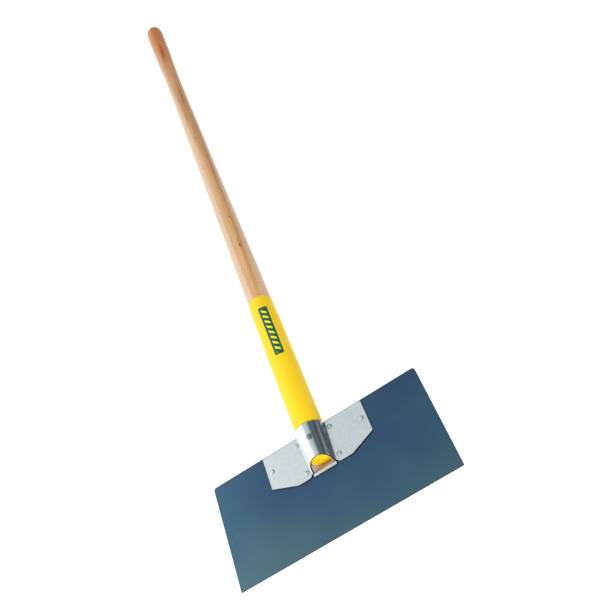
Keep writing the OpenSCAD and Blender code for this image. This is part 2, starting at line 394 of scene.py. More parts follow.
@dataclass(frozen=True)
class BluedSpringSteel:
    """Cold-rolled spring steel, oil-tempered blue: a dark satin mirror with cloudy tint."""

    deep: str = "#385070"
    middle: str = "#3A5C73"
    green: str = "#4C6A75"
    worn: str = "#5E8197"
    roughness: float = 0.36
    cloud_mm: float = 130.0
    mottle_mm: float = 7.0
    scratch_mm: float = 0.9
    # Height below which the tint turns green, and where the left end is rubbed, in millimetres
    green_below: float = 85.0
    rubbed_from: float = -85.0
    rubbed_to: float = -152.0

    def build(self) -> bpy.types.Material:
        """Makes the material."""
        material, tree, shader = start_material("blued_spring_steel")
        shader.inputs["Metallic"].default_value = 0.85
        shader.inputs["Roughness"].default_value = self.roughness
        place = add(tree, "ShaderNodeTexCoord").outputs["Object"]
        # Tempering leaves wide clouds that pass from violet-blue to blue-green
        cloud = add(tree, "ShaderNodeTexNoise", {
            "Vector": place, "Scale": 1 / (self.cloud_mm * MM), "Detail": 3.0,
            "Roughness": 0.45, "Distortion": 0.4})
        split = add(tree, "ShaderNodeSeparateXYZ", {0: place})
        # Greener towards the working edge
        lean = add(tree, "ShaderNodeMapRange", {
            "Value": split.outputs["Y"], "From Min": self.green_below * MM,
            "From Max": 0.0, "To Max": 0.42})
        tint = add(tree, "ShaderNodeMath", {
            0: cloud.outputs["Fac"], 1: lean.outputs["Result"]}, operation="ADD")
        ramp = add(tree, "ShaderNodeValToRGB", {"Fac": tint.outputs[0]}, stops=[
            (0.38, self.deep), (0.62, self.middle), (0.95, self.green)])
        # Handling has lightened the left end, with a fine mottle
        side = add(tree, "ShaderNodeMapRange", {
            "Value": split.outputs["X"], "From Min": self.rubbed_from * MM,
            "From Max": self.rubbed_to * MM, "To Max": 0.5})
        mottle = add(tree, "ShaderNodeTexNoise", {
            "Vector": place, "Scale": 1 / (self.mottle_mm * MM), "Detail": 4.0,
            "Roughness": 0.6})
        rub = add(tree, "ShaderNodeMath", {
            0: side.outputs["Result"], 1: mottle.outputs["Fac"]}, operation="MULTIPLY")
        rubbed = add(tree, "ShaderNodeMix", {
            0: rub.outputs[0], 6: ramp.outputs["Color"], 7: linear(self.worn)}, data_type="RGBA")
        # Drag marks run along the working edge; drawn about twice their real width
        stretch = add(tree, "ShaderNodeMapping", {
            "Vector": place, "Scale": (9.0, 1 / self.scratch_mm / MM, 1.0)})
        lines = add(tree, "ShaderNodeTexNoise", {
            "Vector": stretch.outputs[0], "Scale": 1.0, "Detail": 2.0, "Roughness": 0.5})
        fine = add(tree, "ShaderNodeValToRGB", {"Fac": lines.outputs["Fac"]}, stops=[
            (0.0, 0.0), (0.70, 0.0), (0.78, 0.5)])
        scratched = add(tree, "ShaderNodeMix", {
            0: fine.outputs["Color"], 6: rubbed.outputs[2], 7: linear(self.worn)},
            data_type="RGBA")
        tree.links.new(scratched.outputs[2], shader.inputs["Base Color"])
        wear = add(tree, "ShaderNodeMapRange", {
            "Value": mottle.outputs["Fac"], "To Min": self.roughness - 0.05,
            "To Max": self.roughness + 0.07})
        tree.links.new(wear.outputs["Result"], shader.inputs["Roughness"])
        bump = add(tree, "ShaderNodeBump", {
            "Height": lines.outputs["Fac"], "Strength": 0.06, "Distance": 0.0002})
        tree.links.new(bump.outputs[0], shader.inputs["Normal"])
        return material


@dataclass(frozen=True)
class GalvanisedSheet:
    """Pressed steel sheet, hot-dip galvanised: pale, with faint spangle and rolling lines."""

    name: str = "galvanised_sheet"
    light: str = "#DFE4E6"
    dark: str = "#D6DCDE"
    # Pinkish grey of the heel: a painted reflection of the handle's end, tinted against its yellow
    # bounce light
    painted_heel_reflection: str = "#C6BDD2"
    roughness: float = 0.25
    # Half width, foot and top of the heel's painted reflection, in millimetres; none if empty
    heel: tuple[float, ...] = ()
    spangle_mm: float = 5.0
    cloud_mm: float = 24.0
    roll_mm: float = 0.8

    def build(self) -> bpy.types.Material:
        """Makes the material."""
        material, tree, shader = start_material(self.name)
        shader.inputs["Metallic"].default_value = 1.0
        place = add(tree, "ShaderNodeTexCoord").outputs["Object"]
        spangle = add(tree, "ShaderNodeTexVoronoi", {
            "Vector": place, "Scale": 1 / (self.spangle_mm * MM)}, feature="SMOOTH_F1")
        cloud = add(tree, "ShaderNodeTexNoise", {
            "Vector": place, "Scale": 1 / (self.cloud_mm * MM), "Detail": 4.0, "Roughness": 0.6})
        blend = add(tree, "ShaderNodeMath", {
            0: spangle.outputs["Distance"], 1: cloud.outputs["Fac"]}, operation="MULTIPLY")
        ramp = add(tree, "ShaderNodeValToRGB", {"Fac": blend.outputs[0]}, stops=[
            (0.05, self.light), (0.40, self.dark)])
        colour, dulled = ramp.outputs["Color"], 0.0
        if self.heel:
            # The heel is made matt and non-metallic and painted pinkish grey: a painted
            # reflection, tinted against the yellow light that the lacquered end throws on it
            half_width, foot, top = self.heel
            split = add(tree, "ShaderNodeSeparateXYZ", {0: place})
            below = add(tree, "ShaderNodeMapRange", {
                "Value": split.outputs["Y"], "From Min": top * MM, "From Max": (top - 3) * MM})
            above = add(tree, "ShaderNodeMapRange", {
                "Value": split.outputs["Y"], "From Min": foot * MM, "From Max": (foot + 1) * MM})
            inside = add(tree, "ShaderNodeMath", {
                0: split.outputs["X"], 1: 0.0, 2: half_width * MM}, operation="COMPARE")
            tall = add(tree, "ShaderNodeMath", {
                0: below.outputs["Result"], 1: above.outputs["Result"]}, operation="MULTIPLY")
            mask = add(tree, "ShaderNodeMath", {
                0: tall.outputs[0], 1: inside.outputs[0]}, operation="MULTIPLY")
            stained = add(tree, "ShaderNodeMix", {
                0: mask.outputs[0], 6: colour, 7: linear(self.painted_heel_reflection)}, data_type="RGBA")
            rough = add(tree, "ShaderNodeMath", {0: mask.outputs[0], 1: 0.5},
                        operation="MULTIPLY")
            bare = add(tree, "ShaderNodeMapRange", {
                "Value": mask.outputs[0], "To Min": 1.0, "To Max": 0.0})
            tree.links.new(bare.outputs["Result"], shader.inputs["Metallic"])
            colour, dulled = stained.outputs[2], rough.outputs[0]
        tree.links.new(colour, shader.inputs["Base Color"])
        # Rolling lines run up the plate; drawn coarser than real so that they show
        stretch = add(tree, "ShaderNodeMapping", {
            "Vector": place, "Scale": (1 / self.roll_mm / MM, 12.0, 1 / self.roll_mm / MM)})
        roll = add(tree, "ShaderNodeTexNoise", {
            "Vector": stretch.outputs[0], "Scale": 1.0, "Detail": 3.0, "Roughness": 0.6})
        gloss = add(tree, "ShaderNodeMapRange", {
            "Value": roll.outputs["Fac"], "To Min": self.roughness - 0.03,
            "To Max": self.roughness + 0.05})
        matt = add(tree, "ShaderNodeMath", {0: gloss.outputs["Result"], 1: dulled},
                   operation="ADD")
        tree.links.new(matt.outputs[0], shader.inputs["Roughness"])
        bump = add(tree, "ShaderNodeBump", {
            "Height": roll.outputs["Fac"], "Strength": 0.03, "Distance": 0.0002})
        tree.links.new(bump.outputs[0], shader.inputs["Normal"])
        return material


@dataclass(frozen=True)
class ZincPlatedSteel:
    """Zinc-plated steel fixing: a little darker and greyer than the sheet round it."""

    name: str
    light: str = "#CDD3D3"
    dark: str = "#A3ABAB"
    roughness: float = 0.42
    grime_mm: float = 2.5

    def build(self) -> bpy.types.Material:
        """Makes the material."""
        material, tree, shader = start_material(self.name)
        shader.inputs["Metallic"].default_value = 0.75
        shader.inputs["Roughness"].default_value = self.roughness
        place = add(tree, "ShaderNodeTexCoord").outputs["Object"]
        grime = add(tree, "ShaderNodeTexNoise", {
            "Vector": place, "Scale": 1 / (self.grime_mm * MM), "Detail": 3.0, "Roughness": 0.6})
        ramp = add(tree, "ShaderNodeValToRGB", {"Fac": grime.outputs["Fac"]}, stops=[
            (0.30, self.dark), (0.62, self.light)])
        tree.links.new(ramp.outputs["Color"], shader.inputs["Base Color"])
        bump = add(tree, "ShaderNodeBump", {
            "Height": grime.outputs["Fac"], "Strength": 0.2, "Distance": 0.0002})
        tree.links.new(bump.outputs[0], shader.inputs["Normal"])
        return material


@dataclass(frozen=True)
class Knot:
    """A pin knot or a stained streak on the handle."""

    along: float
    turn: float
    radius: float
    stretch: float = 2.6
    depth: float = 0.85
    colour: str = "#7E4A20"


@dataclass(frozen=True)
class TurnedBeech:
    """Bare beech, turned and sanded: pale pinkish tan, fine long grain and short dark flecks."""

    pale: str = "#D8AC7E"
    tan: str = "#C89562"
    streak: str = "#B67B4A"
    # Pale pinkish tone painted on the handle's sides: a painted highlight
    side_highlight_tone: str = "#CDB299"
    end_tone: str = "#C06A1C"
    fleck: str = "#8F5F36"
    nap: str = "#F3E4DC"
    roughness: float = 0.55
    grain_mm: float = 3.2
    fleck_mm: float = 0.7
    # Middle and half width of the band down the front without painted highlight, and the width
    # over which the painted side highlight comes in, in millimetres
    middle_band_x: float = 6.0
    middle_band_half: float = 5.0
    side_highlight_blend: float = 9.0
    # Where the held end's darker tone starts and is full, in millimetres
    burnished_from: float = 860.0
    burnished_to: float = 1120.0
    knots: tuple["Knot", ...] = ()

    def build(self, spine: "Handle") -> bpy.types.Material:
        """Makes the material.

        Args:
            spine: The handle, whose axis the grain follows.

        Returns:
            The new material.
        """
        material, tree, shader = start_material("turned_beech")
        shader.inputs["Roughness"].default_value = self.roughness
        shader.inputs["IOR"].default_value = 1.45
        # Sanding leaves a fine nap, which turns the handle's sides pale
        shader.inputs["Sheen Weight"].default_value = 0.6
        shader.inputs["Sheen Roughness"].default_value = 0.3
        shader.inputs["Sheen Tint"].default_value = linear(self.nap)
        place = add(tree, "ShaderNodeTexCoord").outputs["Object"]
        # Growth bands: about four across the thickness, drawn out along the handle
        bands_at = add(tree, "ShaderNodeMapping", {
            "Vector": place, "Scale": (1 / self.grain_mm / MM, 3.2, 1 / self.grain_mm / MM),
            "Rotation": (math.radians(-spine.lean), 0.0, 0.0)})
        bands = add(tree, "ShaderNodeTexNoise", {
            "Vector": bands_at.outputs[0], "Scale": 0.55, "Detail": 5.0, "Roughness": 0.62,
            "Distortion": 0.5})
        ramp = add(tree, "ShaderNodeValToRGB", {"Fac": bands.outputs["Fac"]}, stops=[
            (0.32, self.streak), (0.47, self.tan), (0.63, self.pale)])
        # Painted highlight: the wood's own brown stays down the front, and both sides are painted
        # paler and pinker, as where the side lights catch them
        split = add(tree, "ShaderNodeSeparateXYZ", {0: place})
        off_middle_band = add(tree, "ShaderNodeMath", {
            0: split.outputs["X"], 1: self.middle_band_x * MM}, operation="SUBTRACT")
        from_middle_band = add(tree, "ShaderNodeMath", {0: off_middle_band.outputs[0]}, operation="ABSOLUTE")
        wander = add(tree, "ShaderNodeMath", {
            0: bands.outputs["Fac"], 1: 5 * MM, 2: from_middle_band.outputs[0]},
            operation="MULTIPLY_ADD")
        side_highlight = add(tree, "ShaderNodeMapRange", {
            "Value": wander.outputs[0], "From Min": self.middle_band_half * MM,
            "From Max": (self.middle_band_half + self.side_highlight_blend) * MM, "To Max": 0.85},
            interpolation_type="SMOOTHSTEP")
        side_highlit = add(tree, "ShaderNodeMix", {
            0: side_highlight.outputs["Result"], 6: ramp.outputs["Color"], 7: linear(self.side_highlight_tone)},
            data_type="RGBA")
        # Darker towards the held end, where hands and the turning burnish it
        far = add(tree, "ShaderNodeMapRange", {
            "Value": split.outputs["Y"], "From Min": self.burnished_from * MM,
            "From Max": self.burnished_to * MM, "To Max": 0.8},
            interpolation_type="SMOOTHSTEP")
        toned = add(tree, "ShaderNodeMix", {
            0: far.outputs["Result"], 6: side_highlit.outputs[2], 7: linear(self.end_tone)},
            data_type="RGBA")
        # Ray flecks, a few millimetres long; drawn about twice their real width
        flecks_at = add(tree, "ShaderNodeMapping", {
            "Vector": place, "Scale": (1 / self.fleck_mm / MM, 180.0, 1 / self.fleck_mm / MM),
            "Rotation": (math.radians(-spine.lean), 0.0, 0.0)})
        flecks = add(tree, "ShaderNodeTexNoise", {
            "Vector": flecks_at.outputs[0], "Scale": 0.8, "Detail": 1.0, "Roughness": 0.4})
        fleck_mask = add(tree, "ShaderNodeValToRGB", {"Fac": flecks.outputs["Fac"]}, stops=[
            (0.0, 0.0), (0.60, 0.0), (0.72, 0.42)])
        flecked = add(tree, "ShaderNodeMix", {
            0: fleck_mask.outputs["Color"], 6: toned.outputs[2], 7: linear(self.fleck)},
            data_type="RGBA")
        colour = flecked.outputs[2]
        for knot in self.knots:
            spot = spine.point(knot.along, spine.radius(knot.along), knot.turn)
            gap = add(tree, "ShaderNodeVectorMath", {
                0: place, 1: [c * MM for c in spot]}, operation="SUBTRACT")
            drawn_out = add(tree, "ShaderNodeVectorMath", {
                0: gap.outputs[0], 1: (1.0, 1 / knot.stretch, 1.0)}, operation="MULTIPLY")
            far_off = add(tree, "ShaderNodeVectorMath", {0: drawn_out.outputs[0]},
                          operation="LENGTH")
            mask = add(tree, "ShaderNodeMapRange", {
                "Value": far_off.outputs["Value"], "From Min": knot.radius * 0.3 * MM,
                "From Max": knot.radius * 1.3 * MM, "To Min": knot.depth, "To Max": 0.0},
                interpolation_type="SMOOTHSTEP")
            knotted = add(tree, "ShaderNodeMix", {
                0: mask.outputs["Result"], 6: colour, 7: linear(knot.colour)}, data_type="RGBA")
            colour = knotted.outputs[2]
        tree.links.new(colour, shader.inputs["Base Color"])
        bump = add(tree, "ShaderNodeBump", {
            "Height": bands.outputs["Fac"], "Strength": 0.12, "Distance": 0.0003})
        tree.links.new(bump.outputs[0], shader.inputs["Normal"])
        return material


@dataclass(frozen=True)
class DippedLacquer:
    """Yellow dip-coated lacquer: an even glossy skin with a faint orange peel."""

    colour: str = "#EAC422"
    thick: str = "#E5BE1C"
    roughness: float = 0.45
    peel_mm: float = 3.0

    def build(self) -> bpy.types.Material:
        """Makes the material."""
        material, tree, shader = start_material("dipped_lacquer")
        shader.inputs["Roughness"].default_value = self.roughness
        shader.inputs["IOR"].default_value = 1.45
        shader.inputs["Specular IOR Level"].default_value = 0.25
        place = add(tree, "ShaderNodeTexCoord").outputs["Object"]
        # The dip runs slowly downwards and leaves slightly fuller patches
        runs_at = add(tree, "ShaderNodeMapping", {"Vector": place, "Scale": (60.0, 9.0, 60.0)})
        runs = add(tree, "ShaderNodeTexNoise", {
            "Vector": runs_at.outputs[0], "Scale": 1.0, "Detail": 2.0})
        ramp = add(tree, "ShaderNodeValToRGB", {"Fac": runs.outputs["Fac"]}, stops=[
            (0.35, self.thick), (0.65, self.colour)])
        tree.links.new(ramp.outputs["Color"], shader.inputs["Base Color"])
        peel = add(tree, "ShaderNodeTexNoise", {
            "Vector": place, "Scale": 1 / (self.peel_mm * MM), "Detail": 1.0})
        bump = add(tree, "ShaderNodeBump", {
            "Height": peel.outputs["Fac"], "Strength": 0.05, "Distance": 0.0004})
        tree.links.new(bump.outputs[0], shader.inputs["Normal"])
        return material


@dataclass(frozen=True)
class PrintedLabel:
    """Printed vinyl label: dark green with a plain row of yellow slanted bars."""

    ground: str = "#17573A"
    ink: str = "#E9D62E"
    roughness: float = 0.38
    bars: float = 9.0
    slant: float = 0.45
    band: float = 0.27

    def build(self, uv_name: str) -> bpy.types.Material:
        """Makes the material.

        Args:
            uv_name: The label's map, with U along it and V across it, from 0 to 1.

        Returns:
            The new material.
        """
        material, tree, shader = start_material("printed_label")
        shader.inputs["Roughness"].default_value = self.roughness
        shader.inputs["IOR"].default_value = 1.5
        uv = add(tree, "ShaderNodeUVMap", uv_map=uv_name).outputs["UV"]
        split = add(tree, "ShaderNodeSeparateXYZ", {0: uv})
        lean = add(tree, "ShaderNodeMath", {
            0: split.outputs["Y"], 1: self.slant / self.bars * 2, 2: split.outputs["X"]},
            operation="MULTIPLY_ADD")
        count = add(tree, "ShaderNodeMath", {0: lean.outputs[0], 1: self.bars},
                    operation="MULTIPLY")
        phase = add(tree, "ShaderNodeMath", {0: count.outputs[0]}, operation="FRACT")
        bar = add(tree, "ShaderNodeMath", {0: phase.outputs[0], 1: 0.5, 2: 0.22},
                  operation="COMPARE")
        across = add(tree, "ShaderNodeMath", {0: split.outputs["Y"], 1: 0.5, 2: self.band},
                     operation="COMPARE")
        along = add(tree, "ShaderNodeMath", {0: split.outputs["X"], 1: 0.5, 2: 0.46},
                    operation="COMPARE")
        in_band = add(tree, "ShaderNodeMath", {0: bar.outputs[0], 1: across.outputs[0]},
                      operation="MULTIPLY")
        mask = add(tree, "ShaderNodeMath", {0: in_band.outputs[0], 1: along.outputs[0]},
                   operation="MULTIPLY")
        fade = add(tree, "ShaderNodeTexNoise", {
            "Vector": uv, "Scale": 30.0, "Detail": 3.0})
        worn = add(tree, "ShaderNodeMapRange", {
            "Value": fade.outputs["Fac"], "To Min": 0.86, "To Max": 1.12})
        ground = add(tree, "ShaderNodeMix", {
            0: 1.0, 6: linear(self.ground), 7: worn.outputs["Result"]},
            data_type="RGBA", blend_type="MULTIPLY")
        printed = add(tree, "ShaderNodeMix", {
            0: mask.outputs[0], 6: ground.outputs[2], 7: linear(self.ink)}, data_type="RGBA")
        tree.links.new(printed.outputs[2], shader.inputs["Base Color"])
        return material


@dataclass(frozen=True)
class PaleFloor:
    """Matt white studio floor."""

    colour: str = "#C8C8C8"
    shade: str = "#343D43"
    glow: float = 0.76
    # Where the card starts and is full, in millimetres to the right
    card_from: float = 30.0
    card_to: float = 90.0

    def build(self) -> bpy.types.Material:
        """Makes the material.

        Polished metal sees the floor on the right as if a dark card stood there.

        Returns:
            The new material.
        """
        material, tree, shader = start_material("pale_floor")
        place = add(tree, "ShaderNodeTexCoord").outputs["Object"]
        split = add(tree, "ShaderNodeSeparateXYZ", {0: place})
        right = add(tree, "ShaderNodeMapRange", {
            "Value": split.outputs["X"], "From Min": self.card_from * MM,
            "From Max": self.card_to * MM})
        ray = add(tree, "ShaderNodeLightPath")
        carded = add(tree, "ShaderNodeMath", {
            0: ray.outputs["Is Glossy Ray"], 1: right.outputs["Result"]}, operation="MULTIPLY")
        card = add(tree, "ShaderNodeEmission", {"Color": linear(self.shade), "Strength": 1.0})
        seen = add(tree, "ShaderNodeMixShader", {
            0: carded.outputs[0], 1: shader.outputs[0], 2: card.outputs[0]})
        tree.links.new(seen.outputs[0], tree.nodes["Material Output"].inputs["Surface"])
        shader.inputs["Base Color"].default_value = linear(self.colour)
        shader.inputs["Roughness"].default_value = 0.9
        shader.inputs["Specular IOR Level"].default_value = 0.1
        shader.inputs["Emission Color"].default_value = linear("#FFFFFF")
        shader.inputs["Emission Strength"].default_value = self.glow
        return material


# --------------------------------------------------------------------- handle


@dataclass
class Handle:
    """The wooden handle with its dip-coated lower end and its label.

    Places along the handle are measured from the blade's top edge.
    """

    blade_h: float = 143.0
    axis_lift: float = 3.5
    lean: float = 1.4
    reach: float = 1010.0
    insert_len: float = 44.0
    insert_d: float = 30.5
    shank_d: float = 36.5
    shank_len: float = 125.0
    neck_d: float = 26.6
    neck_at: float = 805.0
    knob_d: float = 31.0
    knob_at: float = 955.0
    dome_len: float = 25.0
    slim_power: float = 1.25
    end_bevel: float = 0.8
    dip_reach: float = 219.0
    dip_wave: float = 0.9
    lacquer_t: float = 0.3
    label_from: float = 112.0
    label_len: float = 86.0
    label_w: float = 13.0
    label_t: float = 0.12
    label_corner: float = 1.2
    label_turn: float = 18.0
    sides: int = 128
    label_uv: str = "label"
    radius_name: str = "turned_radius"

    def radius(self, along: float) -> float:
        """Radius of the finished handle at a place along its axis."""
        if along < 0:
            slope = (self.shank_d - self.insert_d) / 2 / self.insert_len
            return self.shank_d / 2 + slope * along
        if along < self.shank_len:
            return self.shank_d / 2
        if along < self.neck_at:
            v = (along - self.shank_len) / (self.neck_at - self.shank_len)
            return self.neck_d / 2 + (self.shank_d - self.neck_d) / 2 * (1 - v) ** self.slim_power
        swell = smooth_step(along, self.neck_at, self.knob_at)
        if along < self.reach - self.dome_len:
            return self.neck_d / 2 + (self.knob_d - self.neck_d) / 2 * swell
        v = (along - (self.reach - self.dome_len)) / self.dome_len
        return self.knob_d / 2 * math.sqrt(max(0.0, 1 - v * v))

    def wood_radius(self, along: float) -> float:
        """Radius of the wood alone, which the lacquer covers at its lower end."""
        clear = smooth_step(along, self.dip_reach + 2, self.dip_reach + 24)
        return self.radius(along) - self.lacquer_t * (1 - clear)

    def point(self, along: float, radius: float, turn: float) -> tuple[float, float, float]:
        """A place round the axis.

        Args:
            along: Distance along the axis from the blade's top edge.
            radius: Distance from the axis.
            turn: Angle in degrees from the front crest towards +X.

        Returns:
            The place in the frame, in millimetres.
        """
        tilt, angle = math.radians(self.lean), math.radians(turn)
        up = radius * math.cos(angle)
        return (radius * math.sin(angle),
                self.blade_h + along * math.cos(tilt) - up * math.sin(tilt),
                self.axis_lift + along * math.sin(tilt) + up * math.cos(tilt))

    def turning_tree(self) -> bpy.types.NodeTree:
        """Geometry Nodes that turn a path with a radius attribute into a solid."""
        tree, given = start_tree("turned_on_axis", {"Sides": "NodeSocketInt"})
        curve = add(tree, "GeometryNodeMeshToCurve", {"Mesh": given.outputs["Mesh"]})
        width = add(tree, "GeometryNodeInputNamedAttribute", {"Name": self.radius_name},
                    data_type="FLOAT")
        ring = add(tree, "GeometryNodeCurvePrimitiveCircle", {
            "Resolution": given.outputs["Sides"], "Radius": 1.0})
        solid = add(tree, "GeometryNodeCurveToMesh", {
            "Curve": curve.outputs[0], "Profile Curve": ring.outputs[0],
            "Scale": width.outputs["Attribute"], "Fill Caps": True})
        return end_tree(tree, given, solid.outputs[0])

    def build_wood(self, finish: bpy.types.Material) -> bpy.types.Object:
        """Turns the wooden handle on its axis with Geometry Nodes.

        Args:
            finish: The wood's material.

        Returns:
            The finished piece.
        """
        dome_at = self.reach - self.dome_len
        places = [*np.linspace(self.lacquer_t - self.insert_len, -2, 8),
                  *np.linspace(0, self.shank_len, 10),
                  *np.linspace(self.shank_len + 6, dome_at - 4, 170),
                  *(dome_at + self.dome_len * math.sin(math.radians(a))
                    for a in np.linspace(0, 88.5, 22))]
        spine = [self.point(u, 0.0, 0.0) for u in places]
        path = bpy.data.meshes.new("handle_path")
        path.from_pydata([[c * MM for c in p] for p in spine],
                         [(i, i + 1) for i in range(len(spine) - 1)], [])
        widths = path.attributes.new(self.radius_name, "FLOAT", "POINT")
        widths.data.foreach_set("value", [self.wood_radius(u) * MM for u in places])
        wood = bpy.data.objects.new("handle_wood", path)
        bpy.context.scene.collection.objects.link(wood)
        set_inputs(wood, self.turning_tree(), {"Sides": self.sides, "Finish": finish})
        return apply_modifiers(wood)

    def build_lacquer(self, finish: bpy.types.Material) -> bpy.types.Object:
        """Makes the closed skin of lacquer, with a slightly wavy upper line.

        Args:
            finish: The lacquer's material.

        Returns:
            The finished piece.
        """
        bevel_at = self.end_bevel - self.insert_len
        foot_r = self.insert_d / 2 - self.end_bevel
        # Outside from the foot to the dip line: place, radius and share of the wave
        rows = [(-self.insert_len, foot_r * s, 0.0) for s in (0.25, 0.5, 0.75, 0.94)]
        for step in range(6):
            a = math.radians(90 * step / 5)
            rows.append((bevel_at - self.end_bevel * math.cos(a),
                         foot_r + self.end_bevel * math.sin(a), 0.0))
        above = [*np.linspace(bevel_at + 3, -2, 10), 0.0,
                 *np.linspace(6, self.dip_reach - 8, 44),
                 *np.linspace(self.dip_reach - 6, self.dip_reach - 0.4, 8)]
        rows += [(u, self.radius(u), smooth_step(u, self.dip_reach - 12, self.dip_reach))
                 for u in above]
        rim = self.radius(self.dip_reach)
        rows += [(self.dip_reach - 0.12, rim - 0.03, 1.0), (self.dip_reach, rim - 0.14, 1.0)]
        # Inside, back to the foot
        rows += [(u - 0.1, self.radius(u) - self.lacquer_t, 1.0 if u > self.dip_reach - 1 else 0.0)
                 for u in (self.dip_reach, self.dip_reach - 14, self.shank_len, 0.0)]
        inner_foot = self.lacquer_t - self.insert_len
        rows += [(inner_foot, self.radius(inner_foot) - self.lacquer_t - 0.3, 0.0),
                 (inner_foot, foot_r * 0.5, 0.0)]
        points = [self.point(-self.insert_len, 0.0, 0.0)]
        for along, radius, share in rows:
            for i in range(self.sides):
                turn = 360 * i / self.sides
                points.append(self.point(along + share * self.wave(turn), radius, turn))
        points.append(self.point(inner_foot, 0.0, 0.0))
        skin = new_object("handle_lacquer", points, turned_faces(len(rows), self.sides), [finish])
        return apply_modifiers(skin)

    def wave(self, turn: float) -> float:
        """How far the dip line lies from its middle place at an angle, in millimetres."""
        a = math.radians(turn)
        return self.dip_wave * (0.5 * math.sin(a + 0.7) + 0.3 * math.sin(2 * a + 2.1)
                                + 0.2 * math.sin(5 * a))

    def build_label(self, finish: bpy.types.Material) -> bpy.types.Object:
        """Makes the thin label, curved round the lacquer and with rounded corners.

        Args:
            finish: The label's material.

        Returns:
            The finished piece.
        """
        columns, half_w = 13, self.label_w / 2
        ends = [0.0, 0.15, 0.4, 0.8, self.label_corner]
        places = [*ends, *np.linspace(3, self.label_len - 3, 26),
                  *(self.label_len - e for e in reversed(ends))]
        shell = SheetShell()
        uvs: list[tuple[float, float]] = []
        for u in places:
            nearest = min(u, self.label_len - u)
            cut = max(0.0, self.label_corner - nearest)
            width = half_w - self.label_corner + math.sqrt(
                max(0.0, self.label_corner ** 2 - cut ** 2))
            along = self.label_from + u
            radius = self.radius(along) + self.label_t / 2 + 0.01
            for c in range(columns):
                across = width * (2 * c / (columns - 1) - 1)
                turn = self.label_turn + math.degrees(across / radius)
                shell.points.append(self.point(along, radius, turn))
                uvs.append((u / self.label_len, across / self.label_w + 0.5))
        for r in range(len(places) - 1):
            for c in range(columns - 1):
                a = r * columns + c
                shell.faces.append((a, a + 1, a + columns + 1, a + columns))
        return apply_modifiers(shell.build("handle_label", self.label_t, [finish],
                                           uvs=uvs, uv_name=self.label_uv))


@dataclass
class SheetShell:
    """A sheet's middle surface, which is given its thickness on both sides."""

    points: list[tuple[float, float, float]] = field(default_factory=list)
    faces: list[tuple[int, int, int, int]] = field(default_factory=list)

    def build(self, name: str, thickness: float, finishes: Sequence[bpy.types.Material],
              uvs: Sequence[tuple[float, float]] = (), uv_name: str = "") -> bpy.types.Object:
        """Makes a closed mesh from the middle surface.

        Args:
            name: The piece's name.
            thickness: The sheet's thickness in millimetres.
            finishes: Material of the broad faces, and of the cut edge if it differs.
            uvs: One place on the map for each point, or none.
            uv_name: The map's name.

        Returns:
            The closed sheet.
        """
        middle = np.array(self.points, float)
        quads = np.array(self.faces, int)
        corner = middle[quads]
        facing = np.cross(corner[:, 2] - corner[:, 0], corner[:, 3] - corner[:, 1])
        normal = np.zeros_like(middle)
        for k in range(4):
            np.add.at(normal, quads[:, k], facing)
        normal /= np.maximum(np.linalg.norm(normal, axis=1), 1e-12)[:, None]
        count = len(middle)
        both = np.vstack([middle + normal * thickness / 2, middle - normal * thickness / 2])
        faces = [tuple(q) for q in quads] + [tuple(int(i) + count for i in q[::-1]) for q in quads]
        used: dict[tuple[int, int], int] = {}
        for q in quads:
            for k in range(4):
                a, b = int(q[k]), int(q[(k + 1) % 4])
                used[(a, b)] = used.get((a, b), 0) + 1
        rim = [edge for edge in used if (edge[1], edge[0]) not in used]
        broad = len(faces)
        faces += [(a, a + count, b + count, b) for a, b in rim]
        obj = new_object(name, both, faces, finishes)
        if len(finishes) > 1:
            for polygon in obj.data.polygons:
                polygon.material_index = int(polygon.index >= broad)
        if uv_name:
            layer = obj.data.uv_layers.new(name=uv_name)
            for loop in obj.data.loops:
                layer.data[loop.index].uv = uvs[loop.vertex_index % count]
        return obj


# --------------------------------------------------------------- socket plates


